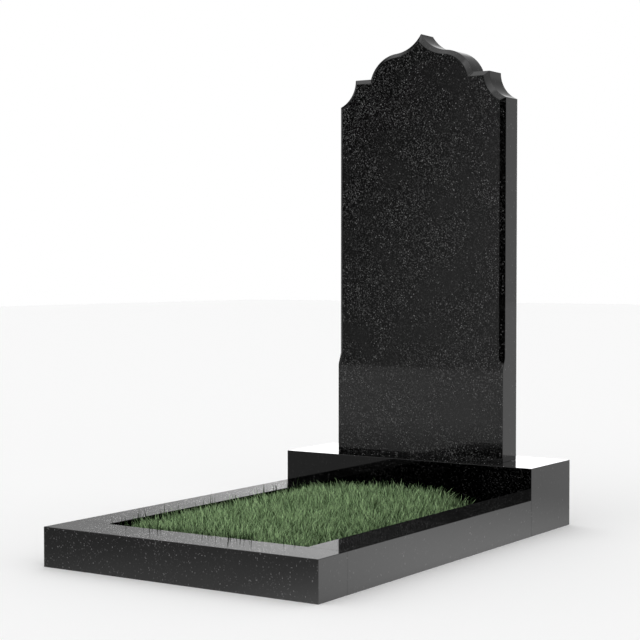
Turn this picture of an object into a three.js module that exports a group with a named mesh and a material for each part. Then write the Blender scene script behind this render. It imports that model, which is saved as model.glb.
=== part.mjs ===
// Upright memorial of polished black granite: a tablet with an ogee top stands on a plinth,
// and a low kerb in front of the plinth holds a bed of short grass.
// Millimetres. +Z is up, +Y runs from the front of the kerb to the back of the plinth, and the
// origin is on the ground under the middle of the whole memorial.

import * as THREE from 'three';
import { mergeVertices } from 'three/addons/utils/BufferGeometryUtils.js';

// Overall plan
const MEMORIAL_WIDTH = 650;
const KERB_LENGTH = 850;

// Plinth
const PLINTH_DEPTH = 200;
const PLINTH_HEIGHT = 150;

// Kerb bars
const KERB_HEIGHT = 80;
const SIDE_RAIL_WIDTH = 86;
const FRONT_BAR_DEPTH = 95;

// Tablet
const STELE_WIDTH = 442;
const STELE_HEIGHT = 985;
const STELE_THICKNESS = 68;

// Level ledge at each side of the top, and the hollow notch under it
const LEDGE_BELOW_POINT = 97;
const LEDGE_WIDTH = 42.5;
const NOTCH_WIDTH = 42;
const NOTCH_DEPTH = 62;

// Ogee top between the ledges: round shoulders that sweep up to a point
const SHOULDER_RISE = 56;
const SHOULDER_RADIUS = 80;
const SWEEP_RADIUS = 88;

// Chamfer round the front edge of the tablet, with a sloped stop at its lower end
const CHAMFER = 10.5;
const CHAMFER_STOP_HEIGHT = 208;
const CHAMFER_STOP_LENGTH = 28;

// Small flat that breaks each sharp edge of the bars and the plinth
const ARRIS = 1.5;

// Grass bed: the dense lower part of the grass is one mat, and tufts rise from it
const MAT_BELOW_KERB = 14;
const TUFT_HEIGHT = 20;
const TUFT_HEIGHT_SPREAD = 14;
const TUFT_PITCH = 26;
const TUFT_LEAN = 7;
const TUFT_EDGE_DROP = 10;

// Gap between pieces that rest on or against each other
const SEAT_GAP = 0.3;

// Flats per arc on the tablet's outline
const ARC_STEPS = 10;

const kerbFrontY = -(KERB_LENGTH + PLINTH_DEPTH) / 2;
const plinthFrontY = kerbFrontY + KERB_LENGTH;
const bedFrontY = kerbFrontY + FRONT_BAR_DEPTH;
const matTop = KERB_HEIGHT - MAT_BELOW_KERB;

const granite = new THREE.MeshStandardMaterial({ color: 0x16171a, roughness: 0.08, metalness: 0 });
const turf = new THREE.MeshStandardMaterial({ color: 0x6f8a52, roughness: 0.9, metalness: 0 });

// A sawn and polished block with every edge broken by the arris, standing on z = 0
function block(width, depth, height) {
  const outline = new THREE.Shape();
  const halfWidth = width / 2 - ARRIS;
  const halfDepth = depth / 2 - ARRIS;
  outline.moveTo(-halfWidth, -halfDepth);
  outline.lineTo(halfWidth, -halfDepth);
  outline.lineTo(halfWidth, halfDepth);
  outline.lineTo(-halfWidth, halfDepth);
  outline.closePath();
  const geometry = new THREE.ExtrudeGeometry(outline, {
    depth: height - 2 * ARRIS,
    bevelThickness: ARRIS,
    bevelSize: ARRIS,
    bevelSegments: 1,
    curveSegments: 1,
  });
  return geometry.translate(0, 0, ARRIS);
}

// Third side of a right triangle, from its longest side and one short side
function otherLeg(longest, leg) {
  return Math.sqrt(longest ** 2 - leg ** 2);
}

// Points along the shorter arc between two points on a circle
function arc(centre, radius, from, to) {
  const start = Math.atan2(from.y - centre.y, from.x - centre.x);
  const end = Math.atan2(to.y - centre.y, to.x - centre.x);
  let turn = end - start;
  if (turn > Math.PI) {
    turn -= 2 * Math.PI;
  }
  if (turn < -Math.PI) {
    turn += 2 * Math.PI;
  }
  const curve = new THREE.EllipseCurve(centre.x, centre.y, radius, radius, start, start + turn, turn < 0);
  return curve.getPoints(ARC_STEPS);
}

// Centre of the sweep arc, which runs through the point and touches the shoulder arc from outside
function sweepCentre(point, shoulderCentre) {
  const apart = point.distanceTo(shoulderCentre);
  const reach = SHOULDER_RADIUS + SWEEP_RADIUS;
  const along = (SWEEP_RADIUS ** 2 - reach ** 2 + apart ** 2) / (2 * apart);
  const across = otherLeg(SWEEP_RADIUS, along);
  const direction = shoulderCentre.clone().sub(point).normalize();
  const outward = new THREE.Vector2(-direction.y, direction.x);
  return point.clone().addScaledVector(direction, along).addScaledVector(outward, across);
}

// Right half of the tablet's outline above the chamfer stop, from the side up to the point.
// Every line and arc is moved inwards by the inset, so an inset outline is the flat face
// inside a chamfer of that width.
function upperHalf(inset) {
  const halfWidth = STELE_WIDTH / 2;
  const ledgeTop = STELE_HEIGHT - LEDGE_BELOW_POINT;
  const ogeeHalfWidth = halfWidth - NOTCH_WIDTH - LEDGE_WIDTH;
  const notchRadius = (NOTCH_WIDTH ** 2 + NOTCH_DEPTH ** 2) / (2 * NOTCH_WIDTH);
  const notchCentre = new THREE.Vector2(halfWidth - NOTCH_WIDTH + notchRadius, ledgeTop);
  const shoulderZ = ledgeTop + SHOULDER_RISE - SHOULDER_RADIUS;
  const shoulderX = ogeeHalfWidth - otherLeg(SHOULDER_RADIUS, ledgeTop - shoulderZ);
  const shoulderCentre = new THREE.Vector2(shoulderX, shoulderZ);
  const sweep = sweepCentre(new THREE.Vector2(0, STELE_HEIGHT), shoulderCentre);

  const hollow = notchRadius + inset;
  const shoulder = SHOULDER_RADIUS - inset;
  const flare = SWEEP_RADIUS + inset;
  const sideX = halfWidth - inset;
  const ledgeZ = ledgeTop - inset;

  const sideTop = new THREE.Vector2(sideX, ledgeTop - otherLeg(hollow, notchCentre.x - sideX));
  const ledgeEnd = new THREE.Vector2(notchCentre.x - otherLeg(hollow, inset), ledgeZ);
  const ogeeFoot = new THREE.Vector2(shoulderX + otherLeg(shoulder, ledgeZ - shoulderZ), ledgeZ);
  const towardsSweep = sweep.clone().sub(shoulderCentre).normalize();
  const touch = shoulderCentre.clone().addScaledVector(towardsSweep, shoulder);
  const point = new THREE.Vector2(0, sweep.y - otherLeg(flare, sweep.x));

  return [
    ...arc(notchCentre, hollow, sideTop, ledgeEnd),
    ...arc(shoulderCentre, shoulder, ogeeFoot, touch),
    ...arc(sweep, flare, touch, point).slice(1),
  ];
}

// Right half of the outline from the foot to the point. The chamfer only starts above its stop.
function rightHalf(inset) {
  const halfWidth = STELE_WIDTH / 2;
  return [
    new THREE.Vector2(halfWidth, 0),
    new THREE.Vector2(halfWidth, CHAMFER_STOP_HEIGHT),
    new THREE.Vector2(halfWidth - inset, CHAMFER_STOP_HEIGHT + CHAMFER_STOP_LENGTH),
    ...upperHalf(inset),
  ];
}

// The whole outline, counter-clockwise seen from the front
function steleOutline(inset) {
  const right = rightHalf(inset);
  const left = right.slice(0, -1).reverse().map((p) => new THREE.Vector2(-p.x, p.y));
  return [...right, ...left];
}

// The tablet: a flat front face inside the chamfer, the chamfer, the sides and a flat back.
// Below the stop the front outline and the outer one are the same, so the chamfer has no width.
function stele() {
  const face = steleOutline(CHAMFER);
  const outer = steleOutline(0);
  const count = outer.length;
  const rings = [
    face.map((p) => [p.x, 0, p.y]),
    outer.map((p, i) => [p.x, face[i].equals(p) ? 0 : CHAMFER, p.y]),
    outer.map((p) => [p.x, STELE_THICKNESS, p.y]),
  ];
  const index = [];
  for (let ring = 0; ring < rings.length - 1; ring += 1) {
    for (let i = 0; i < count; i += 1) {
      const a = ring * count + i;
      const b = ring * count + (i + 1) % count;
      index.push([a, a + count, b], [b, a + count, b + count]);
    }
  }
  const back = (rings.length - 1) * count;
  for (const [a, b, c] of THREE.ShapeUtils.triangulateShape(face, [])) {
    index.push([a, b, c]);
  }
  for (const [a, b, c] of THREE.ShapeUtils.triangulateShape(outer, [])) {
    index.push([back + a, back + c, back + b]);
  }
  return closedGeometry(rings.flat(), index);
}

// Joins equal corners and drops the triangles that have lost their width
function closedGeometry(corners, triangles) {
  const raw = new THREE.BufferGeometry();
  raw.setAttribute('position', new THREE.Float32BufferAttribute(corners.flat(), 3));
  raw.setIndex(triangles.flat());
  const merged = mergeVertices(raw, 1e-3);
  const index = merged.getIndex();
  const kept = [];
  for (let i = 0; i < index.count; i += 3) {
    const [a, b, c] = [index.getX(i), index.getX(i + 1), index.getX(i + 2)];
    if (a !== b && b !== c && c !== a) {
      kept.push(a, b, c);
    }
  }
  merged.setIndex(kept);
  merged.computeVertexNormals();
  return merged;
}

// A value from 0 to 1 that is the same each time for the same cell
function scatter(column, row, salt) {
  const wave = Math.sin(column * 12.9898 + row * 78.233 + salt * 37.719) * 43758.5453;
  return wave - Math.floor(wave);
}

// The grass bed: soil and the mat of grass on it, with a top of leaning tufts, one to each cell
// of a grid. The tufts are shorter along the edges, where the grass is thin beside the stone.
function grassBed(width, depth) {
  const columns = Math.round(width / TUFT_PITCH);
  const rows = Math.round(depth / TUFT_PITCH);
  const cellWidth = width / columns;
  const cellDepth = depth / rows;
  const corners = [];
  const triangles = [];
  const top = (column, row) => row * (columns + 1) + column;
  for (let row = 0; row <= rows; row += 1) {
    for (let column = 0; column <= columns; column += 1) {
      corners.push([column * cellWidth - width / 2, row * cellDepth - depth / 2, matTop]);
    }
  }
  for (let row = 0; row < rows; row += 1) {
    for (let column = 0; column < columns; column += 1) {
      const atEdge = row === 0 || column === 0 || row === rows - 1 || column === columns - 1;
      const drop = (atEdge ? TUFT_EDGE_DROP : 0) + TUFT_HEIGHT_SPREAD * scatter(column, row, 3);
      corners.push([
        (column + 0.5) * cellWidth - width / 2 + TUFT_LEAN * (2 * scatter(column, row, 1) - 1),
        (row + 0.5) * cellDepth - depth / 2 + TUFT_LEAN * (2 * scatter(column, row, 2) - 1),
        matTop + TUFT_HEIGHT + TUFT_HEIGHT_SPREAD - drop,
      ]);
      const tip = corners.length - 1;
      const cell = [top(column, row), top(column + 1, row), top(column + 1, row + 1), top(column, row + 1)];
      for (let side = 0; side < 4; side += 1) {
        triangles.push([cell[side], cell[(side + 1) % 4], tip]);
      }
    }
  }
  const rim = [];
  for (let column = 0; column < columns; column += 1) {
    rim.push(top(column, 0));
  }
  for (let row = 0; row < rows; row += 1) {
    rim.push(top(columns, row));
  }
  for (let column = columns; column > 0; column -= 1) {
    rim.push(top(column, rows));
  }
  for (let row = rows; row > 0; row -= 1) {
    rim.push(top(0, row));
  }
  const firstFoot = corners.length;
  for (const place of rim) {
    corners.push([corners[place][0], corners[place][1], 0]);
  }
  corners.push([0, 0, 0]);
  const middle = corners.length - 1;
  for (let i = 0; i < rim.length; i += 1) {
    const next = (i + 1) % rim.length;
    triangles.push([rim[i], firstFoot + i, rim[next]]);
    triangles.push([rim[next], firstFoot + i, firstFoot + next]);
    triangles.push([firstFoot + i, middle, firstFoot + next]);
  }
  return closedGeometry(corners, triangles);
}

function piece(name, geometry, material, x, y, z) {
  const mesh = new THREE.Mesh(geometry, material);
  mesh.name = name;
  mesh.position.set(x, y, z);
  return mesh;
}

function kerb() {
  const group = new THREE.Group();
  const railLength = KERB_LENGTH - FRONT_BAR_DEPTH - 2 * SEAT_GAP;
  const railY = (bedFrontY + plinthFrontY) / 2;
  const railX = (MEMORIAL_WIDTH - SIDE_RAIL_WIDTH) / 2;
  const barY = kerbFrontY + FRONT_BAR_DEPTH / 2;
  const bar = block(MEMORIAL_WIDTH, FRONT_BAR_DEPTH, KERB_HEIGHT);
  const rail = block(SIDE_RAIL_WIDTH, railLength, KERB_HEIGHT);
  group.add(piece('kerb_front_bar', bar, granite, 0, barY, 0));
  group.add(piece('kerb_left_rail', rail, granite, -railX, railY, 0));
  group.add(piece('kerb_right_rail', rail.clone(), granite, railX, railY, 0));
  return group;
}

const memorial = new THREE.Group();
const plinth = block(MEMORIAL_WIDTH, PLINTH_DEPTH, PLINTH_HEIGHT);
const bedWidth = MEMORIAL_WIDTH - 2 * SIDE_RAIL_WIDTH - 2 * SEAT_GAP;
const bedDepth = KERB_LENGTH - FRONT_BAR_DEPTH - 2 * SEAT_GAP;
const steleFrontY = plinthFrontY + (PLINTH_DEPTH - STELE_THICKNESS) / 2;
memorial.add(piece('plinth', plinth, granite, 0, plinthFrontY + PLINTH_DEPTH / 2, 0));
memorial.add(piece('stele', stele(), granite, 0, steleFrontY, PLINTH_HEIGHT + SEAT_GAP));
memorial.add(kerb());
memorial.add(piece('grass_bed', grassBed(bedWidth, bedDepth), turf, 0, (bedFrontY + plinthFrontY) / 2, 0));

export default memorial;
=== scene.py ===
# %% [markdown]
# # A headstone of polished black granite
#
# The object is a memorial made of five pieces of stone and a bed of grass: an upright tablet,
# the plinth that it stands on, three kerb bars in front, and short grass inside the kerb.
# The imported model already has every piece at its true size, so this file never moves or resizes
# anything. It dresses each piece: finer edges, a polish that mirrors the room, and real blades
# of grass in place of the plain tufts.

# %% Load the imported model
import math

import bpy
import numpy as np
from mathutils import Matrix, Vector, noise


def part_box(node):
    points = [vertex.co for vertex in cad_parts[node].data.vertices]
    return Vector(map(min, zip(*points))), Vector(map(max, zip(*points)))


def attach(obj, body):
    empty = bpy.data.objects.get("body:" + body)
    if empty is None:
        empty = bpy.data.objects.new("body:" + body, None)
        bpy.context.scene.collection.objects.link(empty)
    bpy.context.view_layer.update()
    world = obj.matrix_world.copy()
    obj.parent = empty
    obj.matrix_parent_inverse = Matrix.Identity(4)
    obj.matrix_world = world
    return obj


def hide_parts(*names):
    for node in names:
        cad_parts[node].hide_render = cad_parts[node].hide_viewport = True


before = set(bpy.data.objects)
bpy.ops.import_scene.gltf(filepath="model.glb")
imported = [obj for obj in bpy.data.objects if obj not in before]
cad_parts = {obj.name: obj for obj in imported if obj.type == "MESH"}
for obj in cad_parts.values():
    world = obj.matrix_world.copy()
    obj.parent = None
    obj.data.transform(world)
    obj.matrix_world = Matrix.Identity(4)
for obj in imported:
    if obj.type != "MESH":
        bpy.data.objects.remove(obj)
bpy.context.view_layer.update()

print("nodes:", sorted(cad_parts))

# %% [markdown]
# ## The camera
#
# Polished stone shows the room as much as itself, so the camera comes before the finish. Its
# place can be found by eye, or worked out from the edges that run together in the photo. Here it
# was worked out: a long lens, a little above the kerb, in front and to the right. It is set by
# its place and its two angles, because those are what a photographer would set.

# %% Camera
CAMERA_PLACE = (1.856, -2.846, 0.589)
CAMERA_AZIMUTH = math.radians(33.35)
CAMERA_PITCH_DOWN = math.radians(1.84)
CAMERA_LENS_MM = 89.76
CAMERA_SENSOR_MM = 36
CAMERA_REACH = 100

scene = bpy.context.scene
bpy.ops.object.camera_add(
    location=CAMERA_PLACE,
    rotation=(math.pi / 2 - CAMERA_PITCH_DOWN, 0, CAMERA_AZIMUTH),
)
camera = bpy.context.object
camera.name = "camera"
camera.data.lens = CAMERA_LENS_MM
camera.data.sensor_width = CAMERA_SENSOR_MM
camera.data.clip_end = CAMERA_REACH
scene.camera = camera
print("camera at", CAMERA_PLACE, "with a lens of", CAMERA_LENS_MM, "mm")

# %% [markdown]
# ## Floor and light
#
# Black granite is lit by what it mirrors. A bright, even room would turn every face the same
# grey, and a few lamps would leave it black with small hot spots. A studio does it with large
# pale walls of different brightness, so that each face of the stone gets a tone of its own.
# The same is done here: the floor is plain and pale, the light on everything is soft and even,
# and the walls that only the polish sees are brighter behind the stone than in front of it.

# %% Plain pale floor
FLOOR_HALF_WIDTH = 16.0
FLOOR_FRONT = -4.6
FLOOR_BACK = 22.0

bpy.ops.object.select_all(action="DESELECT")
bpy.ops.mesh.primitive_plane_add(size=1, location=(0, (FLOOR_FRONT + FLOOR_BACK) / 2, 0))
floor = bpy.context.object
floor.name = "floor"
floor.scale = (2 * FLOOR_HALF_WIDTH, FLOOR_BACK - FLOOR_FRONT, 1)
bpy.ops.object.transform_apply(location=True, rotation=True, scale=True)

print("floor:", FLOOR_HALF_WIDTH * 2, "by", FLOOR_BACK - FLOOR_FRONT, "metres")

# %% [markdown]
# ### The floor that the polish sees
#
# The floor itself has one pale, matte tone. But a polished side face mirrors the floor beside
# it, and a studio floor is never evenly bright: lamps leave a pool of light on it, and it is
# dimmer close to the stone. Painted on the floor, such light would show as stains. So the paint
# glows for mirror rays alone, which the Light Path node tells apart, and all else sees the
# plain tone. Each part of the glow is a ramp between two places on the floor.
#
# A material is built from nodes, so a few helpers that add and fill in a node come first.


# %% Helpers that add nodes
def add_node(tree, kind, inputs=None, **values):
    """A node with its properties and its inputs set. An input is a plain value or a socket."""
    node = tree.nodes.new(kind)
    for name, value in values.items():
        setattr(node, name, value)
    for name, value in (inputs or {}).items():
        if isinstance(value, bpy.types.NodeSocket):
            tree.links.new(value, node.inputs[name])
        else:
            node.inputs[name].default_value = value
    return node


def maths(tree, operation, first, second=0.0):
    return add_node(tree, "ShaderNodeMath", {0: first, 1: second}, operation=operation).outputs[0]


def plus(tree, first, second):
    return maths(tree, "ADD", first, second)


def times(tree, first, second):
    return maths(tree, "MULTIPLY", first, second)


def remap(tree, value, low, high, out_low=0.0, out_high=1.0, curve="LINEAR"):
    node = add_node(
        tree,
        "ShaderNodeMapRange",
        {"Value": value, "From Min": low, "From Max": high, "To Min": out_low, "To Max": out_high},
        interpolation_type=curve,
    )
    return node.outputs["Result"]


def new_material(name):
    """A material, its node tree and its shader."""
    made = bpy.data.materials.new(name)
    made.use_nodes = True
    return made, made.node_tree, made.node_tree.nodes["Principled BSDF"]


# %% Floor paint
FLOOR_COLOUR = (0.95, 0.95, 0.95, 1)
FLOOR_ROUGHNESS = 0.9
FLOOR_SHINE = 0.1

floor_paint, floor_tree, floor_shader = new_material("floor_paint")
floor_shader.inputs["Base Color"].default_value = FLOOR_COLOUR
floor_shader.inputs["Roughness"].default_value = FLOOR_ROUGHNESS
floor_shader.inputs["Specular IOR Level"].default_value = FLOOR_SHINE
floor.data.materials.append(floor_paint)
print("floor colour:", FLOOR_COLOUR)

# %% Ramps of the floor's glow
# Each ramp: the axis that it runs along, where it starts and ends, and its value at both places
FLOOR_RAMPS = {
    "far front": ("Y", -0.85, -1.7, 0.37, 0.62),
    "right side": ("X", -0.4, 0.6, 0.0, 0.40),
    "before the kerb": ("Y", -0.88, -0.53, 0.0, 0.30),
    "before the kerb, left end": ("X", -0.75, -0.2, 0.0, 1.0),
    "before the kerb, back edge": ("Y", -0.50, -0.53, 0.0, 1.0),
    "pool, left edge": ("X", 0.1, 0.36, 0.0, 1.0),
    "dark corner, across": ("X", 1.5, 4.0, 0.0, 1.0),
    "dark corner, forwards": ("Y", -0.8, -2.0, 0.0, 1.0),
}

spot = add_node(floor_tree, "ShaderNodeTexCoord").outputs["Object"]
spot_axes = add_node(floor_tree, "ShaderNodeSeparateXYZ", {"Vector": spot}).outputs
ramps = {}
for name, (axis, *values) in FLOOR_RAMPS.items():
    ramps[name] = remap(floor_tree, spot_axes[axis], *values)
    print("floor ramp:", name, axis, values)

# %% Pool of light, and the sum of the glow
POOL_PLACE = (0.36, -0.12, 0)
POOL_RADIUS = 1.2
POOL_GLOW = 0.80

from_pool = add_node(
    floor_tree,
    "ShaderNodeVectorMath",
    {0: spot, 1: POOL_PLACE},
    operation="DISTANCE",
).outputs["Value"]
pool = remap(floor_tree, from_pool, POOL_RADIUS, 0.0, 0.0, POOL_GLOW, "SMOOTHSTEP")
pool = times(floor_tree, pool, ramps["pool, left edge"])
by_kerb = times(floor_tree, ramps["before the kerb"], ramps["before the kerb, left end"])
by_kerb = times(floor_tree, by_kerb, ramps["before the kerb, back edge"])
dark_corner = times(floor_tree, ramps["dark corner, across"], ramps["dark corner, forwards"])
glow = plus(floor_tree, ramps["far front"], ramps["right side"])
glow = plus(floor_tree, glow, by_kerb)
glow = plus(floor_tree, glow, pool)
glow = times(floor_tree, glow, maths(floor_tree, "SUBTRACT", 1.0, dark_corner))
print("pool of light at", POOL_PLACE, "with a radius of", POOL_RADIUS, "metres")

# %% Glow for mirror rays alone
WHITE = (1, 1, 1, 1)

glowing = add_node(floor_tree, "ShaderNodeEmission", {"Color": WHITE, "Strength": glow})
floor_ray = add_node(floor_tree, "ShaderNodeLightPath").outputs["Is Glossy Ray"]
floor_mix = add_node(
    floor_tree,
    "ShaderNodeMixShader",
    {0: floor_ray, 1: floor_shader.outputs["BSDF"], 2: glowing.outputs["Emission"]},
)
floor_out = floor_tree.nodes["Material Output"]
floor_tree.links.new(floor_mix.outputs["Shader"], floor_out.inputs["Surface"])
print("floor paint:", len(floor_tree.nodes), "nodes")

# %% [markdown]
# ### Walls that only the polish sees
#
# An even white room lights everything from all round, which gives soft shadows and no glare.
# Mirrored in the stone it would be one flat grey. So mirror rays see a room of their own, with
# soft round panels of light in chosen directions. Lamps could be hung there instead, but a panel
# in the room's shader is only three nodes, and it adds no noise to the picture.

# %% An empty room, and a panel of light
room = bpy.data.worlds.new("studio")
scene.world = room
room.use_nodes = True
room_tree = room.node_tree
room_tree.nodes.clear()
look = add_node(room_tree, "ShaderNodeTexCoord").outputs["Generated"]


def compass(azimuth, elevation):
    """Direction at an angle from straight behind the stone, to the left of it, in degrees."""
    turn = math.radians(azimuth)
    rise = math.radians(elevation)
    return (-math.sin(turn) * math.cos(rise), math.cos(turn) * math.cos(rise), math.sin(rise))


def panel_light(azimuth, elevation, inner, outer, strength):
    """Full inside one angle from the panel's middle, gone outside the other."""
    towards = add_node(
        room_tree,
        "ShaderNodeVectorMath",
        {0: look, 1: compass(azimuth, elevation)},
        operation="DOT_PRODUCT",
    ).outputs["Value"]
    edge = math.cos(math.radians(outer))
    core = math.cos(math.radians(inner))
    return remap(room_tree, towards, edge, core, 0.0, strength, "SMOOTHSTEP")


# %% Soft walls of the studio
ROOM_DARK = 0.01
# Each panel: azimuth, elevation, inner angle and outer angle in degrees, then its strength
PANELS = {
    "ceiling": (100, 90, 16.5, 62, 1.3),
    "back wall": (12, -12, 6, 67.5, 0.56),
    "right wall": (-29, 1, 7.6, 26, 0.29),
    "low light behind": (23, 10, 4.2, 18, 0.44),
    "strip low behind": (28, -8, 15.8, 16.7, 1.9),
    "softbox front right": (-118, 36, 21, 30, 1.05),
    "softbox front left": (150, 35, 23, 27.5, 1.1),
    "wall front left": (172, -8, 19, 29.5, 0.38),
}

mirrored = ROOM_DARK
for name, panel in PANELS.items():
    mirrored = plus(room_tree, panel_light(*panel), mirrored)
    print("panel:", name, panel)

even = add_node(room_tree, "ShaderNodeBackground", {"Color": WHITE})
panels = add_node(room_tree, "ShaderNodeBackground", {"Color": mirrored})
room_ray = add_node(room_tree, "ShaderNodeLightPath").outputs["Is Glossy Ray"]
room_mix = add_node(
    room_tree,
    "ShaderNodeMixShader",
    {0: room_ray, 1: even.outputs["Background"], 2: panels.outputs["Background"]},
)
add_node(room_tree, "ShaderNodeOutputWorld", {"Surface": room_mix.outputs["Shader"]})
scene.view_settings.view_transform = "Standard"
print("room:", len(room_tree.nodes), "nodes")

# %% [markdown]
# ## The tablet
#
# The tablet is sawn to its outline from one slab. Its top is an ogee: two round shoulders that
# sweep up to a point. At each side the ogee stands on a level ledge, and a hollow notch is cut
# under the ledge. A 45 degree chamfer runs round the front edge and stops a little above the
# foot, where the edge is square again.
#
# The outline could be typed in as a list of points, or drawn with a curve. A stonemason draws
# it with a rule and a compass, and the extrude and spin operators do just that: extrude draws a
# line from a point, and spin swings the point round a centre. Only the right half is drawn. It
# is drawn three times, once inside the chamfer, once outside it and once at the back, and the
# three outlines are bridged into a skin.

# %% Sizes of the tablet
slab_low, slab_high = (Vector(corner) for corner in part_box("stele"))
SLAB_HALF_WIDTH = slab_high.x
SLAB_FOOT = slab_low.z
SLAB_TOP = slab_high.z
SLAB_FRONT = slab_low.y
SLAB_BACK = slab_high.y

CHAMFER = 0.0105
CHAMFER_STOP = 0.208
CHAMFER_STOP_LENGTH = 0.028
LEDGE_BELOW_POINT = 0.097
LEDGE_WIDTH = 0.0425
NOTCH_WIDTH = 0.042
NOTCH_DEPTH = 0.062
SHOULDER_RISE = 0.056
SHOULDER_RADIUS = 0.080
SWEEP_RADIUS = 0.088

print("tablet:", [round(value, 4) for value in slab_high - slab_low])


# %% Centres of its arcs
def other_leg(longest, leg):
    """Third side of a right triangle."""
    return math.sqrt(longest**2 - leg**2)


ledge_z = SLAB_TOP - LEDGE_BELOW_POINT
notch_radius = (NOTCH_WIDTH**2 + NOTCH_DEPTH**2) / (2 * NOTCH_WIDTH)
notch_centre = Vector((SLAB_HALF_WIDTH - NOTCH_WIDTH + notch_radius, ledge_z))
shoulder_z = ledge_z + SHOULDER_RISE - SHOULDER_RADIUS
ogee_half_width = SLAB_HALF_WIDTH - NOTCH_WIDTH - LEDGE_WIDTH
shoulder_x = ogee_half_width - other_leg(SHOULDER_RADIUS, ledge_z - shoulder_z)
shoulder_centre = Vector((shoulder_x, shoulder_z))

# The sweep's centre is one radius from the point, and both radii from the shoulder's centre
point = Vector((0, SLAB_TOP))
apart = (shoulder_centre - point).length
reach = SHOULDER_RADIUS + SWEEP_RADIUS
along = (SWEEP_RADIUS**2 - reach**2 + apart**2) / (2 * apart)
towards_shoulder = (shoulder_centre - point).normalized()
outwards = Vector((-towards_shoulder.y, towards_shoulder.x))
sweep_centre = point + along * towards_shoulder + other_leg(SWEEP_RADIUS, along) * outwards
print("sweep arc swings round", [round(value, 4) for value in sweep_centre])

# %% Rule and compass
PENCIL_SIZE = 0.01
ARC_STEPS = 26


def fresh_object(name):
    """An empty mesh object at the origin, open in edit mode."""
    bpy.ops.object.select_all(action="DESELECT")
    bpy.ops.mesh.primitive_plane_add(size=1, location=(0, 0, 0))
    made = bpy.context.object
    made.name = name
    bpy.ops.object.mode_set(mode="EDIT")
    bpy.ops.mesh.delete(type="VERT")
    return made


def put_pencil(place):
    """One loose point: a small plane merged at its middle."""
    bpy.ops.mesh.select_all(action="DESELECT")
    bpy.ops.mesh.primitive_plane_add(size=PENCIL_SIZE, location=place)
    bpy.ops.mesh.merge(type="CENTER")


def draw_line(across, up):
    bpy.ops.mesh.extrude_region_move(TRANSFORM_OT_translate={"value": (across, 0, up)})


def draw_arc(centre, start, end, depth):
    """Swings the point from start to end, the short way round."""
    from_angle = math.atan2(start.y - centre.y, start.x - centre.x)
    to_angle = math.atan2(end.y - centre.y, end.x - centre.x)
    turn = (to_angle - from_angle + math.pi) % (2 * math.pi) - math.pi
    pivot = (centre.x, depth, centre.y)
    bpy.ops.mesh.spin(steps=ARC_STEPS, angle=turn, center=pivot, axis=(0, 1, 0))


# %% Half an outline
def draw_half_outline(inset, depth):
    """Right half of the tablet, moved inwards by the inset above the chamfer's stop."""
    hollow = notch_radius + inset
    shoulder = SHOULDER_RADIUS - inset
    sweep = SWEEP_RADIUS + inset
    side = SLAB_HALF_WIDTH - inset
    ledge = ledge_z - inset
    side_top = Vector((side, ledge_z - other_leg(hollow, notch_centre.x - side)))
    ledge_end = Vector((notch_centre.x - other_leg(hollow, inset), ledge))
    ogee_foot = Vector((shoulder_centre.x + other_leg(shoulder, ledge - shoulder_z), ledge))
    touch = shoulder_centre + shoulder * (sweep_centre - shoulder_centre).normalized()
    tip = Vector((0, sweep_centre.y - other_leg(sweep, sweep_centre.x)))
    stop_top = SLAB_FOOT + CHAMFER_STOP + CHAMFER_STOP_LENGTH
    put_pencil((0, depth, SLAB_FOOT))
    draw_line(SLAB_HALF_WIDTH, 0)
    draw_line(0, CHAMFER_STOP)
    draw_line(-inset, CHAMFER_STOP_LENGTH)
    draw_line(0, side_top.y - stop_top)
    draw_arc(notch_centre, side_top, ledge_end, depth)
    draw_line(ogee_foot.x - ledge_end.x, 0)
    draw_arc(shoulder_centre, ogee_foot, touch, depth)
    draw_arc(sweep_centre, touch, tip, depth)


def select_verts(made, test):
    """Selects the points of an object in edit mode that pass a test of their place."""
    bpy.ops.mesh.select_all(action="DESELECT")
    bpy.ops.object.mode_set(mode="OBJECT")
    for vert in made.data.vertices:
        vert.select = test(vert.co)
    bpy.ops.object.mode_set(mode="EDIT")


# %% Draw, bridge and close the tablet
WELD = 0.00002

stele = fresh_object("stele_stone")
bpy.ops.mesh.select_mode(type="VERT")
outside = SLAB_FRONT + CHAMFER
draw_half_outline(CHAMFER, SLAB_FRONT)
draw_half_outline(0, outside)
bpy.ops.mesh.select_all(action="SELECT")
bpy.ops.mesh.bridge_edge_loops()
draw_half_outline(0, SLAB_BACK)
select_verts(stele, lambda place: place.y > outside - WELD)
bpy.ops.mesh.bridge_edge_loops()
for depth in (SLAB_FRONT, SLAB_BACK):
    select_verts(stele, lambda place: abs(place.y - depth) < WELD)
    bpy.ops.mesh.edge_face_add()
print("half tablet:", len(stele.data.vertices), "points")

# %% Square the foot, then mirror the half
stop_z = SLAB_FOOT + CHAMFER_STOP
select_verts(stele, lambda place: abs(place.y - outside) < WELD and place.z < stop_z + WELD)
bpy.ops.transform.translate(value=(0, -CHAMFER, 0))
bpy.ops.mesh.select_all(action="SELECT")
bpy.ops.mesh.remove_doubles(threshold=WELD)
bpy.ops.mesh.normals_make_consistent(inside=False)
bpy.ops.object.mode_set(mode="OBJECT")


def finish_with(made, kind, **values):
    """Adds a modifier, sets it and applies it."""
    bpy.context.view_layer.objects.active = made
    bpy.ops.object.modifier_add(type=kind)
    modifier = made.modifiers[-1]
    for name, value in values.items():
        setattr(modifier, name, value)
    bpy.ops.object.modifier_apply(modifier=modifier.name)


finish_with(stele, "MIRROR", use_axis=(True, False, False), use_clip=True, merge_threshold=WELD)
print("whole tablet:", len(stele.data.vertices), "points")

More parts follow.
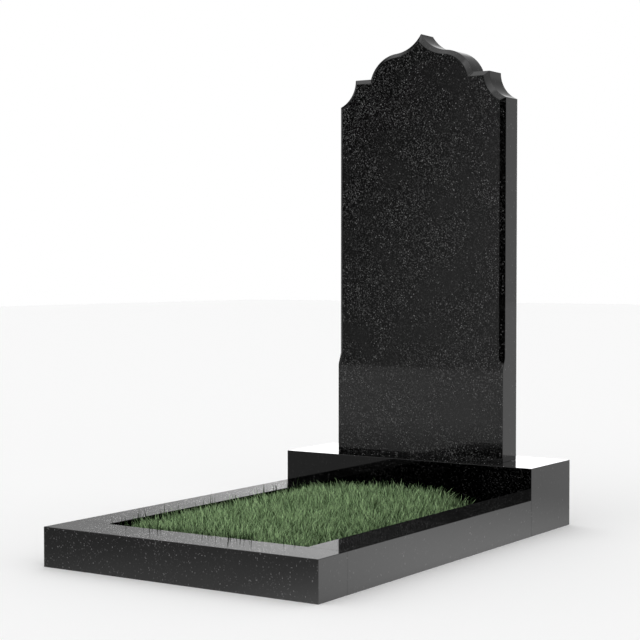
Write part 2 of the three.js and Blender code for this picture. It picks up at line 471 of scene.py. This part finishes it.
# %% [markdown]
# ## Arrises
#
# A polished edge is never left knife-sharp. The mason passes a stone over it once, which leaves
# a bright flat under a millimetre wide, called an arris. It is narrow, but it is what the eye
# reads as a real edge. Where two pieces of stone meet, the mason leaves the edge nearly sharp, so
# that the joint hardly shows.
#
# A bevel limited by angle would find all these edges by itself, but it gives them one width. A
# bevel by weight takes a number from each edge that says how much of the full width it gets. So
# the sharp edges are selected by their angle, which leaves the small steps of the arcs alone, and
# those that lie in a joint get a small weight.

# %% Weigh the edges
EDGE_ANGLE = math.radians(18)
JOINT_SHARE = 0.2
JOINT_REACH = 0.001
X, Y, Z = range(3)


def weigh_edges(made, joints):
    """Weighs the sharp edges. A joint is an axis, a place on it and the longest edge that counts."""
    bpy.context.view_layer.objects.active = made
    bpy.ops.object.mode_set(mode="EDIT")
    bpy.ops.mesh.select_mode(type="EDGE")
    bpy.ops.mesh.select_all(action="DESELECT")
    bpy.ops.mesh.edges_select_sharp(sharpness=EDGE_ANGLE)
    bpy.ops.object.mode_set(mode="OBJECT")
    weights = made.data.attributes.new("bevel_weight_edge", "FLOAT", "EDGE")
    for edge in made.data.edges:
        first, second = (made.data.vertices[index].co for index in edge.vertices)
        weight = 1.0 if edge.select else 0.0
        for axis, place, longest in joints:
            level = max(abs(first[axis] - place), abs(second[axis] - place)) < JOINT_REACH
            if level and (first - second).length < longest + JOINT_REACH:
                weight *= JOINT_SHARE
        weights.data[edge.index].value = weight


# %% Break the edges of the tablet
ARRIS = 0.0007
ARRIS_STEPS = 2
LARGE_FACES_LEAD = 100


def break_edges(made, joints=()):
    """Cuts the arrises, then shades the piece so that its flat faces stay flat."""
    weigh_edges(made, joints)
    finish_with(made, "BEVEL", width=ARRIS, segments=ARRIS_STEPS, limit_method="WEIGHT")
    bpy.ops.object.select_all(action="DESELECT")
    made.select_set(True)
    bpy.context.view_layer.objects.active = made
    bpy.ops.object.shade_smooth_by_angle(angle=EDGE_ANGLE)
    finish_with(made, "WEIGHTED_NORMAL", keep_sharp=True, weight=LARGE_FACES_LEAD)


break_edges(stele, joints=((Z, SLAB_FOOT, 2 * SLAB_HALF_WIDTH),))
print("tablet with arrises:", len(stele.data.polygons), "faces")

# %% [markdown]
# ## Plinth and kerb
#
# The plinth and the three kerb bars are sawn blocks. Each starts as a cube at the size and place
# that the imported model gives, so it can't drift from it, and gets the same arrises as the
# tablet. The joints are at the two ends of the side bars. The edge that the front bar turns to
# the grass lies in the same plane as one of these joints, but it is longer than a side bar is
# wide, and that tells it apart.

# %% Saw the blocks
BLOCKS = {
    "plinth_stone": "plinth",
    "front_bar_stone": "kerb_front_bar",
    "left_rail_stone": "kerb_left_rail",
    "right_rail_stone": "kerb_right_rail",
}
RAIL_LOW, RAIL_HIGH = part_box("kerb_left_rail")
RAIL_WIDTH = RAIL_HIGH[X] - RAIL_LOW[X]
RAIL_ENDS = ((Y, RAIL_LOW[Y], RAIL_WIDTH), (Y, RAIL_HIGH[Y], RAIL_WIDTH))


def saw_block(name, node):
    low, high = (Vector(corner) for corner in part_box(node))
    bpy.ops.object.select_all(action="DESELECT")
    bpy.ops.mesh.primitive_cube_add(size=1, location=(low + high) / 2, scale=high - low)
    made = bpy.context.object
    made.name = name
    bpy.ops.object.transform_apply(location=True, rotation=True, scale=True)
    break_edges(made, joints=() if node == "plinth" else RAIL_ENDS)
    print(name, [round(value, 4) for value in high - low])
    return made


blocks = {name: saw_block(name, node) for name, node in BLOCKS.items()}

# %% [markdown]
# ## Black granite
#
# What masons call black granite is mostly gabbro: black and dark grey crystals a few millimetres
# across, with pale flecks of feldspar between them. Polished, it behaves like dark glass. Nearly
# all the light that comes back is mirrored at the surface, and the pale grains are the only
# bright thing in the stone itself.
#
# The crystals could be painted from a picture, but a cell pattern in the stone's own coordinates
# runs through the block as real grain does, and never shows a seam at an edge. A noise bends the
# cells, so that they aren't regular. Each cell has three random numbers: one picks the few cells
# that are flecks, one makes a few of those bright, and one gives the ground its tone, which is
# mostly dark. A second, slow noise makes patches with more and with fewer pale grains.
#
# The pattern is a node group, because the stones come from different slabs: they share the
# pattern, and differ in how many flecks they have and how bright the flecks are.

# %% Inputs and outputs of the grain
GRAIN_INPUTS = {
    "Crystals per metre": 330.0,
    "Fleck share": 0.1,
    "Fleck tone": 0.2,
    "Ground tone": 0.01,
    "Patchiness": 0.1,
    "Slab": 0.0,
}

grain = bpy.data.node_groups.new("crystal_grain", "ShaderNodeTree")


def group_socket(name, direction, kind, value=None):
    socket = grain.interface.new_socket(name=name, in_out=direction, socket_type=kind)
    if value is not None:
        socket.default_value = value


group_socket("Place", "INPUT", "NodeSocketVector")
for name, value in GRAIN_INPUTS.items():
    group_socket(name, "INPUT", "NodeSocketFloat", value)
group_socket("Colour", "OUTPUT", "NodeSocketColor")
group_socket("Flecks", "OUTPUT", "NodeSocketFloat")
group_socket("Relief", "OUTPUT", "NodeSocketFloat")
print("grain inputs:", list(GRAIN_INPUTS))

# %% Bent crystals
RIPPLES_PER_METRE = 260.0
RIPPLE_DETAIL = 2.0
RIPPLE_REACH = 0.0035
NO_RIPPLE = (0.5, 0.5, 0.5)

grain_in = add_node(grain, "NodeGroupInput").outputs
ripple = add_node(
    grain,
    "ShaderNodeTexNoise",
    {"Vector": grain_in["Place"], "Scale": RIPPLES_PER_METRE, "Detail": RIPPLE_DETAIL},
)


def vector_maths(operation, inputs):
    return add_node(grain, "ShaderNodeVectorMath", inputs, operation=operation).outputs[0]


centred = vector_maths("SUBTRACT", {0: ripple.outputs["Color"], 1: NO_RIPPLE})
shift = vector_maths("SCALE", {0: centred, "Scale": RIPPLE_REACH})
bent = vector_maths("ADD", {0: grain_in["Place"], 1: shift})
crystals = add_node(
    grain,
    "ShaderNodeTexVoronoi",
    {"Vector": bent, "Scale": grain_in["Crystals per metre"]},
)
picks = add_node(grain, "ShaderNodeSeparateColor", {"Color": crystals.outputs["Color"]}).outputs
print("crystals:", len(grain.nodes), "nodes")

# %% Patches and flecks
PATCHES_PER_METRE = 11.0
PATCH_DETAIL = 3.0
PATCH_LOW = 0.3
PATCH_HIGH = 0.7
CRYSTAL_RIM = 0.75
CRYSTAL_CORE = 0.45
FLECK_RARITY = 3.0
FAINTEST_FLECK = 0.3
BRIGHTEST_FLECK = 1.8

patch_inputs = {
    "Vector": grain_in["Place"],
    "W": grain_in["Slab"],
    "Scale": PATCHES_PER_METRE,
    "Detail": PATCH_DETAIL,
}
patches = add_node(grain, "ShaderNodeTexNoise", patch_inputs, noise_dimensions="4D")
patch_push = remap(grain, patches.outputs["Fac"], PATCH_LOW, PATCH_HIGH, -1.0, 1.0)
density = plus(grain, 1.0, times(grain, patch_push, grain_in["Patchiness"]))
share = times(grain, grain_in["Fleck share"], density)
picked = maths(grain, "LESS_THAN", picks["Red"], share)
inside = remap(grain, crystals.outputs["Distance"], CRYSTAL_RIM, CRYSTAL_CORE)
fleck_shape = times(grain, picked, inside)
few_bright = maths(grain, "POWER", picks["Green"], FLECK_RARITY)
fleck_strength = remap(grain, few_bright, 0.0, 1.0, FAINTEST_FLECK, BRIGHTEST_FLECK)
flecks = times(grain, fleck_shape, fleck_strength)
print("with flecks:", len(grain.nodes), "nodes")

# %% Ground, and the tone of both
GROUND_RARITY = 5.0

# An even random number to a power p has a mean of 1 / (p + 1), so the factor keeps it at 1
mostly_dark = maths(grain, "POWER", picks["Blue"], GROUND_RARITY)
mostly_dark = times(grain, mostly_dark, GROUND_RARITY + 1)
contrast = times(grain, maths(grain, "SUBTRACT", mostly_dark, 1.0), density)
dark_or_pale = maths(grain, "MAXIMUM", plus(grain, contrast, 1.0), 0.0)
ground = times(grain, dark_or_pale, grain_in["Ground tone"])
tone = plus(grain, ground, times(grain, flecks, grain_in["Fleck tone"]))
colour = add_node(grain, "ShaderNodeCombineColor", {"Red": tone, "Green": tone, "Blue": tone})
add_node(
    grain,
    "NodeGroupOutput",
    {"Colour": colour.outputs["Color"], "Flecks": flecks, "Relief": fleck_shape},
)
print("grain group:", len(grain.nodes), "nodes")

# %% [markdown]
# ### Polished and sawn
#
# A polish is as smooth as glass, apart from the flecks, which are a trace rougher and rise by a
# few hundredths of a millimetre. One material could serve the whole memorial, but the tablet, the
# plinth and the kerb are three slabs, and the chamfer and the narrow faces show fewer flecks than
# the broad faces do. So one function makes the materials, and a line of values sets each finish.
# The undersides come from the saw and nobody sees them. They have the same grain, paler and dull,
# as rough stone does.

# %% Polished stone
POLISH_ROUGHNESS = 0.035
FLECK_ROUGHNESS = 0.12
FLECK_RELIEF = 0.00006
STONE_IOR = 1.5
# The grain's inputs in their order, from crystals per metre to slab
POLISHED = {
    "tablet_stone": (490.0, 0.06, 0.125, 0.0084, 0.85, 1.0),
    "chamfer_stone": (430.0, 0.05, 0.055, 0.0021, 0.6, 1.0),
    "kerb_stone": (480.0, 0.08, 0.075, 0.0008, 0.8, 3.0),
    "plinth_stone": (500.0, 0.10, 0.020, 0.0004, 0.9, 5.0),
    "edge_stone": (330.0, 0.02, 0.05, 0.0006, 0.5, 3.0),
}


def grain_in_material(tree, values):
    """The grain on the piece's own coordinates, with the material's values for its inputs."""
    place = add_node(tree, "ShaderNodeTexCoord").outputs["Object"]
    return add_node(tree, "ShaderNodeGroup", {"Place": place, **values}, node_tree=grain).outputs


def polished_stone(name, values):
    stone, tree, shader = new_material(name)
    pattern = grain_in_material(tree, dict(zip(GRAIN_INPUTS, values)))
    rough = remap(tree, pattern["Flecks"], 0.0, 1.0, POLISH_ROUGHNESS, FLECK_ROUGHNESS)
    relief = add_node(
        tree,
        "ShaderNodeBump",
        {"Height": pattern["Relief"], "Strength": 1.0, "Distance": FLECK_RELIEF},
    )
    tree.links.new(pattern["Colour"], shader.inputs["Base Color"])
    tree.links.new(rough, shader.inputs["Roughness"])
    tree.links.new(relief.outputs["Normal"], shader.inputs["Normal"])
    shader.inputs["IOR"].default_value = STONE_IOR
    print(name, values)
    return stone


polished = {name: polished_stone(name, values) for name, values in POLISHED.items()}

# %% Sawn stone
SAWN_TONES = {"Fleck tone": 0.16, "Ground tone": 0.07}
SAWN_ROUGHNESS = 0.75

sawn_stone, sawn_tree, sawn_shader = new_material("sawn_stone")
sawn_colour = grain_in_material(sawn_tree, SAWN_TONES)["Colour"]
sawn_tree.links.new(sawn_colour, sawn_shader.inputs["Base Color"])
sawn_shader.inputs["Roughness"].default_value = SAWN_ROUGHNESS
print("sawn stone:", SAWN_TONES)

# %% [markdown]
# ### Which face gets which finish
#
# Faces could be picked by hand in edit mode and given a material each. Their normals say the
# same: a face that looks straight down is sawn, one that looks forwards, backwards or, on the
# blocks, up is broad, the tablet's sloping faces are its chamfer, and all others are narrow.

# %% Finish of each face
FLAT = 0.99
SLOPE = 0.5
WIDE, NARROW, UNDER, SLOPING = range(4)

for made in [stele, *blocks.values()]:
    plain = polished["plinth_stone" if made is blocks["plinth_stone"] else "kerb_stone"]
    made.data.materials.append(polished["tablet_stone"] if made is stele else plain)
    made.data.materials.append(polished["edge_stone"])
    made.data.materials.append(sawn_stone)
    made.data.materials.append(polished["chamfer_stone"])
    for face in made.data.polygons:
        wide = abs(face.normal.y) > FLAT or (face.normal.z > FLAT and made is not stele)
        face.material_index = WIDE if wide else NARROW
        if face.normal.z < -FLAT:
            face.material_index = UNDER
        elif made is stele and -FLAT < face.normal.y < -SLOPE:
            face.material_index = SLOPING
    print(made.name, "has", len(made.data.polygons), "faces")

# %% [markdown]
# ## The grass bed
#
# Inside the kerb is a bed of short grass. From a step away it reads as thousands of thin
# upright blades, dark at the root and pale at the tip. Blender's hair would grow them at once,
# but hair is lost when the model leaves Blender. So one blade is modelled, and bent copies of it
# become one plain mesh over a bed of soil.
#
# The soil fills the kerb from the ground up. A flat top would show between the blades as a
# smooth plate, so it is cut into a grid, and a noise lifts and lowers the grid's points.

# %% Soil
SOIL_TOP = 0.044
SOIL_CUTS = 46
SOIL_LUMPS = 0.005
SOIL_LUMPS_PER_METRE = 60
LOOKS_UP = 0.9

bed_low, bed_high = (Vector(corner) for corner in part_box("grass_bed"))
bpy.ops.object.select_all(action="DESELECT")
soil_size = Vector((bed_high.x - bed_low.x, bed_high.y - bed_low.y, SOIL_TOP))
soil_centre = Vector(((bed_low.x + bed_high.x) / 2, (bed_low.y + bed_high.y) / 2, SOIL_TOP / 2))
bpy.ops.mesh.primitive_cube_add(size=1, location=soil_centre, scale=soil_size)
soil = bpy.context.object
soil.name = "grass_soil"
bpy.ops.object.transform_apply(location=True, rotation=True, scale=True)
bpy.ops.object.mode_set(mode="EDIT")
bpy.ops.mesh.select_mode(type="FACE")
bpy.ops.mesh.select_all(action="DESELECT")
bpy.ops.object.mode_set(mode="OBJECT")
for face in soil.data.polygons:
    face.select = face.normal.z > LOOKS_UP
bpy.ops.object.mode_set(mode="EDIT")
bpy.ops.mesh.subdivide(number_cuts=SOIL_CUTS)
bpy.ops.object.mode_set(mode="OBJECT")
for vert in soil.data.vertices:
    if vert.co.z > SOIL_TOP - WELD:
        vert.co.z += SOIL_LUMPS * noise.noise(vert.co * SOIL_LUMPS_PER_METRE)
bpy.ops.object.shade_smooth()
print("soil:", len(soil.data.polygons), "faces")

# %% [markdown]
# ### One blade
#
# A blade of short grass is a flat strip that narrows to a point. With tens of thousands of them
# a blade has to be plain: one section and a tip, three triangles in all. It is modelled one unit
# wide and one unit high, so that its copies only need a width and a height.

# %% One blade, as by hand
BLADE_SECTIONS = ((0.58, 0.8),)
BLADE_TIP = 0.42

blade = fresh_object("blade")
bpy.ops.mesh.select_mode(type="VERT")
put_pencil((-0.5, 0, 0))
draw_line(1, 0)
bpy.ops.mesh.select_all(action="SELECT")
for rise, shrink in BLADE_SECTIONS:
    bpy.ops.mesh.extrude_region_move(TRANSFORM_OT_translate={"value": (0, 0, rise)})
    bpy.ops.transform.resize(value=(shrink, 1, 1), center_override=(0, 0, 0))
bpy.ops.mesh.extrude_region_move(TRANSFORM_OT_translate={"value": (0, 0, BLADE_TIP)})
bpy.ops.mesh.merge(type="CENTER")
bpy.ops.object.mode_set(mode="OBJECT")
blade_points = np.array([vert.co[:] for vert in blade.data.vertices])
blade_faces = [tuple(face.vertices) for face in blade.data.polygons]
bpy.data.objects.remove(blade)
print("one blade:", len(blade_points), "points", len(blade_faces), "faces")

# %% [markdown]
# ### The lawn
#
# Grass grows in tufts: some blades share nearly one root, and each leans its own way. The lawn
# is highest along its middle, low beside the side bars, and thin in its front left and back
# right corners. A loop could place the blades one by one, but numpy works out all of them at
# once, with one row for each blade. The random numbers start from a seed, so that each run grows
# the same lawn.

# %% Sow the tufts
SEED = 41
TUFTS = 4400
BLADES_PER_TUFT = 9
TUFT_SPREAD = 0.0040
VIGOUR_SPREAD = 0.10
EDGE_GAP = 0.0015

rng = np.random.default_rng(SEED)
count = TUFTS * BLADES_PER_TUFT
tuft_x = rng.uniform(bed_low.x, bed_high.x, TUFTS)
tuft_y = rng.uniform(bed_low.y, bed_high.y, TUFTS)
root_x = np.repeat(tuft_x, BLADES_PER_TUFT) + rng.normal(0, TUFT_SPREAD, count)
root_y = np.repeat(tuft_y, BLADES_PER_TUFT) + rng.normal(0, TUFT_SPREAD, count)
tuft_vigour = np.repeat(rng.normal(1, VIGOUR_SPREAD, TUFTS), BLADES_PER_TUFT)
root_x = np.clip(root_x, bed_low.x + EDGE_GAP, bed_high.x - EDGE_GAP)
root_y = np.clip(root_y, bed_low.y + EDGE_GAP, bed_high.y - EDGE_GAP)
print("blades sown:", count)

# %% Thin corners
FRONT_CORNER_WIDTH = 0.06
FRONT_CORNER_DEPTH = 0.10
FRONT_CORNER_BARE = 0.3
BACK_CORNER_STRETCH = 1.3
BACK_CORNER_BARE = 0.035
BACK_CORNER_THICK = 0.11


def eased(value, start, end):
    """0 before start, 1 after end, smooth between."""
    t = np.clip((value - start) / (end - start), 0, 1)
    return t * t * (3 - 2 * t)


from_left = (root_x - bed_low.x) / FRONT_CORNER_WIDTH
from_front = (root_y - bed_low.y) / FRONT_CORNER_DEPTH
thickness = eased(np.hypot(from_left, from_front), FRONT_CORNER_BARE, 1.0)
to_back_corner = np.hypot(bed_high.x - root_x, (bed_high.y - root_y) / BACK_CORNER_STRETCH)
thickness *= eased(to_back_corner, BACK_CORNER_BARE, BACK_CORNER_THICK)
print("thickness of the lawn, mean:", round(float(thickness.mean()), 3))

# %% Height of each blade
MIDDLE_HEIGHT = 0.050
LEFT_SHARE = 0.70
RIGHT_SHARE = 0.57
SHORTEST = 0.5
LONGEST = 1.06
TALL_BLADES = 0.06
TALL_GAIN = 1.14
BACK_CORNER_HEIGHT = 0.72
BACK_CORNER_LOW = 0.03
BACK_CORNER_HIGH = 0.16
THIN_HEIGHT = 0.75
THIN_KEPT = 0.12

rail_share = np.where(root_x < 0, LEFT_SHARE, RIGHT_SHARE)
dome = 1 - (1 - rail_share) * (root_x / bed_high.x) ** 2
height = MIDDLE_HEIGHT * dome * tuft_vigour * rng.uniform(SHORTEST, LONGEST, count)
height *= np.where(rng.random(count) < TALL_BLADES, TALL_GAIN, 1.0)
clear_of_corner = eased(to_back_corner, BACK_CORNER_LOW, BACK_CORNER_HIGH)
height *= BACK_CORNER_HEIGHT + (1 - BACK_CORNER_HEIGHT) * clear_of_corner
height *= THIN_HEIGHT + (1 - THIN_HEIGHT) * thickness
kept = rng.random(count) < THIN_KEPT + (1 - THIN_KEPT) * thickness
root_x, root_y, height = root_x[kept], root_y[kept], height[kept]
count = len(height)
print("blades kept:", count, "mean height:", round(float(height.mean()), 4))

# %% Bend the blades
BLADE_WIDTH = 0.0021
WIDTH_SPREAD = 0.18
LEAN_SPREAD = 0.30
ROOT_DEPTH = 0.004
TINT_SPLIT = 0.5

facing = rng.uniform(0, 2 * math.pi, count)
lean_way = rng.uniform(0, 2 * math.pi, count)
lean = np.abs(rng.normal(0, LEAN_SPREAD, count))
bend = np.abs(rng.normal(0, LEAN_SPREAD, count))
width = BLADE_WIDTH * rng.normal(1, WIDTH_SPREAD, count)
across = blade_points[:, X]
up = blade_points[:, Z]
reach_out = lean[:, None] * up + bend[:, None] * up**2
points = np.empty((count, len(blade_points), 3))
points[:, :, X] = root_x[:, None] + width[:, None] * across * np.cos(facing)[:, None]
points[:, :, Y] = root_y[:, None] + width[:, None] * across * np.sin(facing)[:, None]
points[:, :, X] += height[:, None] * reach_out * np.cos(lean_way)[:, None]
points[:, :, Y] += height[:, None] * reach_out * np.sin(lean_way)[:, None]
points[:, :, Z] = SOIL_TOP - ROOT_DEPTH + (height[:, None] + ROOT_DEPTH) * up
# With a split below 1, most tints are near 0 or near 1: a blade is either dark or pale
tint = rng.beta(TINT_SPLIT, TINT_SPLIT, count)
tip_light_share = np.ones(count)
print("lawn:", len(points), "blades")

# %% [markdown]
# ### Strays beside the kerb
#
# Where a mower can't reach, single blades stand up along the stone. Against the pale polish
# they read as thin dark strokes, and the front bar mirrors some of them. More of the lawn's own
# blades would only thicken its edge, so the strays are scattered along the edges by themselves:
# upright, a little wider, and darker at the tip. That darker tip is painted shade: a stray's
# colour stops part way up the grass ramp, so its tip keeps the ramp's painted shade.
#
# Some of the lawn's blades and strays would lean through the stone. Below the kerb's top, their
# points are held inside the bed, and nothing reaches into the plinth.

# %% Strays that stand up beside the kerb
LEFT_STRAYS = 75
LEFT_HEIGHTS = (0.034, 0.062)
RIGHT_STRAYS = 45
RIGHT_HEIGHTS = (0.030, 0.052)
FRONT_STRAYS = 38
FRONT_HEIGHTS = (0.038, 0.060)
START_GAP = 0.01
PLINTH_GAP = 0.10
FRONT_END_GAP = 0.02
STRAY_BAND = (0.002, 0.010)
STRAY_WIDTH = 0.0028
STRAY_LEAN = 0.008
STRAY_TINTS = (0.3, 0.7)
# Painted shade: a stray's colour stops at this share of the way up the grass ramp, so its tip stays
# dark
STRAY_SHADED_TIP_SHARE = 0.65


def along_edge(axis, edge, inward, strays, heights, end_gap):
    """Blades that stand up along one edge of the bed, and lean a little any way."""
    other = 1 - axis
    root = np.empty((strays, 3))
    root[:, axis] = edge + inward * rng.uniform(*STRAY_BAND, strays)
    root[:, other] = rng.uniform(bed_low[other] + START_GAP, bed_high[other] - end_gap, strays)
    root[:, Z] = SOIL_TOP
    tip = root.copy()
    tip[:, [X, Y]] += rng.normal(0, STRAY_LEAN, (strays, 2))
    tip[:, Z] += rng.uniform(*heights, strays)
    made = np.empty((strays, len(blade_points), 3))
    for corner, (side, _, rise) in enumerate(blade_points):
        made[:, corner] = root + rise * (tip - root)
        made[:, corner, X] += side * STRAY_WIDTH
    return made


by_left_rail = along_edge(X, bed_low.x, 1, LEFT_STRAYS, LEFT_HEIGHTS, PLINTH_GAP)
by_right_rail = along_edge(X, bed_high.x, -1, RIGHT_STRAYS, RIGHT_HEIGHTS, PLINTH_GAP)
by_front_bar = along_edge(Y, bed_low.y, 1, FRONT_STRAYS, FRONT_HEIGHTS, FRONT_END_GAP)

all_strays = LEFT_STRAYS + RIGHT_STRAYS + FRONT_STRAYS
points = np.concatenate([points, by_left_rail, by_right_rail, by_front_bar])
tint = np.concatenate([tint, rng.uniform(*STRAY_TINTS, all_strays)])
tip_light_share = np.concatenate([tip_light_share, np.full(all_strays, STRAY_SHADED_TIP_SHARE)])
print("with strays:", len(points), "blades")

# %% Keep the blades out of the stone
KERB_TOP = RAIL_HIGH[Z]
STONE_GAP = 0.0004
JUST_ABOVE = 0.0008

below_kerb = points[:, :, Z] < KERB_TOP + JUST_ABOVE
for axis in (X, Y):
    held = np.clip(points[:, :, axis], bed_low[axis] + STONE_GAP, bed_high[axis] - STONE_GAP)
    points[:, :, axis] = np.where(below_kerb, held, points[:, :, axis])
points[:, :, Y] = np.minimum(points[:, :, Y], bed_high.y - STONE_GAP)
print("points below the kerb's top:", int(below_kerb.sum()))

# %% [markdown]
# ### Two plain meshes
#
# The blades are joined, because an object for each of them would be slow to draw and to export.
# The front bar's polish shows a few dark strokes and no dark mass of grass. So the strays at
# the front are a piece of their own, and the lawn is hidden from mirror rays.


# %% Join the blades
def join_blades(name, points, tint, tip_light_share):
    """One object of many blades, with a map of each blade's tint and the way up it."""
    per_blade = len(blade_points)
    starts = range(0, len(points) * per_blade, per_blade)
    faces = [tuple(start + corner for corner in face) for start in starts for face in blade_faces]
    mesh = bpy.data.meshes.new(name)
    mesh.from_pydata(points.reshape(-1, 3).tolist(), [], faces)
    blade_map = mesh.uv_layers.new(name="blade")
    corner_vert = np.empty(len(mesh.loops), dtype=np.int32)
    mesh.loops.foreach_get("vertex_index", corner_vert)
    map_points = np.empty((len(points), per_blade, 2), dtype=np.float32)
    map_points[:, :, 0] = tint[:, None]
    # The way up a blade on the map picks its painted shade or light; a share below 1 keeps the tip in
    # painted shade
    map_points[:, :, 1] = up[None, :] * tip_light_share[:, None]
    blade_map.uv.foreach_set("vector", map_points.reshape(-1, 2)[corner_vert].ravel())
    mesh.shade_smooth()
    made = bpy.data.objects.new(name, mesh)
    scene.collection.objects.link(made)
    mesh.calc_loop_triangles()
    print(name, len(mesh.loop_triangles), "triangles")
    return made


lawn = slice(0, -FRONT_STRAYS)
front = slice(-FRONT_STRAYS, None)
blades = join_blades("grass_blades", points[lawn], tint[lawn], tip_light_share[lawn])
front_strays = join_blades("grass_strays", points[front], tint[front], tip_light_share[front])
blades.visible_glossy = False

# %% [markdown]
# ## Colour of the grass
#
# A lawn isn't one green. Each blade is pale at its tip and nearly black at the root, and some
# blades are paler than others. Both follow the blade and not the place, so they are read from
# the blade map that was just made: across it runs a tint that is different for each blade, and
# up it runs the height along the blade. The nearly black root is painted shade, for the shade
# between the blade's neighbours, and the pale tip is partly the blade's own paler colour and
# partly painted light.
#
# The soil is nearly black, because it lies in the shade of the grass. It could be left plain,
# but a few crumbs show at the thin corners, and a noise gives them.

# %% Grass
# Painted shade and light up each blade: the root and middle colours are darkened for the shade between
# the blades, and the tip colour, times the pale tint, is brighter than grass is, as painted light
ROOT_SHADE_COLOUR = (0.004, 0.009, 0.003, 1)
MIDDLE_COLOUR_AND_SHADE = (0.026, 0.052, 0.018, 1)
MIDDLE_PLACE = 0.6
TIP_COLOUR_AND_LIGHT = (0.58, 0.88, 0.455, 1)
DARK_TINT = (0.06, 0.11, 0.05, 1)
PALE_TINT = (1.5, 1.4, 1.42, 1)
GRASS_ROUGHNESS = 0.55
GRASS_SHINE = 0.15


def colour_ramp(tree, amount, first, last):
    ramp = add_node(tree, "ShaderNodeValToRGB", {"Fac": amount})
    ramp.color_ramp.elements[0].color = first
    ramp.color_ramp.elements[1].color = last
    return ramp


grass, grass_tree, grass_shader = new_material("grass")
blade_place = add_node(grass_tree, "ShaderNodeUVMap", uv_map="blade").outputs["UV"]
blade_axes = add_node(grass_tree, "ShaderNodeSeparateXYZ", {"Vector": blade_place}).outputs
light_and_shade_by_height = colour_ramp(grass_tree, blade_axes["Y"], ROOT_SHADE_COLOUR, TIP_COLOUR_AND_LIGHT)
light_and_shade_by_height.color_ramp.elements.new(MIDDLE_PLACE).color = MIDDLE_COLOUR_AND_SHADE
by_tint = colour_ramp(grass_tree, blade_axes["X"], DARK_TINT, PALE_TINT)
tinted = add_node(grass_tree, "ShaderNodeMix", {"Factor": 1.0}, data_type="RGBA", blend_type="MULTIPLY")
grass_tree.links.new(light_and_shade_by_height.outputs["Color"], tinted.inputs["A"])
grass_tree.links.new(by_tint.outputs["Color"], tinted.inputs["B"])
grass_tree.links.new(tinted.outputs["Result"], grass_shader.inputs["Base Color"])
grass_shader.inputs["Roughness"].default_value = GRASS_ROUGHNESS
grass_shader.inputs["Specular IOR Level"].default_value = GRASS_SHINE
blades.data.materials.append(grass)
front_strays.data.materials.append(grass)
print("grass:", len(grass_tree.nodes), "nodes")

# %% Earth
DARK_EARTH = (0.003, 0.004, 0.002, 1)
PALE_EARTH = (0.015, 0.014, 0.009, 1)
CRUMBS_PER_METRE = 180.0
CRUMB_DETAIL = 5.0
CRUMB_RELIEF = 0.002
EARTH_ROUGHNESS = 0.95

earth, earth_tree, earth_shader = new_material("earth")
earth_place = add_node(earth_tree, "ShaderNodeTexCoord").outputs["Object"]
crumbs = add_node(
    earth_tree,
    "ShaderNodeTexNoise",
    {"Vector": earth_place, "Scale": CRUMBS_PER_METRE, "Detail": CRUMB_DETAIL},
).outputs["Fac"]
earth_tone = colour_ramp(earth_tree, crumbs, DARK_EARTH, PALE_EARTH)
earth_relief = add_node(earth_tree, "ShaderNodeBump", {"Height": crumbs, "Distance": CRUMB_RELIEF})
earth_tree.links.new(earth_tone.outputs["Color"], earth_shader.inputs["Base Color"])
earth_tree.links.new(earth_relief.outputs["Normal"], earth_shader.inputs["Normal"])
earth_shader.inputs["Roughness"].default_value = EARTH_ROUGHNESS
earth_shader.inputs["Specular IOR Level"].default_value = 0.0
soil.data.materials.append(earth)
print("earth:", len(earth_tree.nodes), "nodes")

# %% [markdown]
# ## The pieces ride on the body
#
# Every piece rides on the one body that the memorial has, and the plain solid that it stands
# for is hidden.

# %% Ride, and hide the plain solids
STONES = {"stele_stone": "stele", **BLOCKS}
for name, node in STONES.items():
    stone = bpy.data.objects[name]
    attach(stone, "root")
    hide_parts(node)
for made in (blades, front_strays, soil):
    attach(made, "root")
    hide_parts("grass_bed")
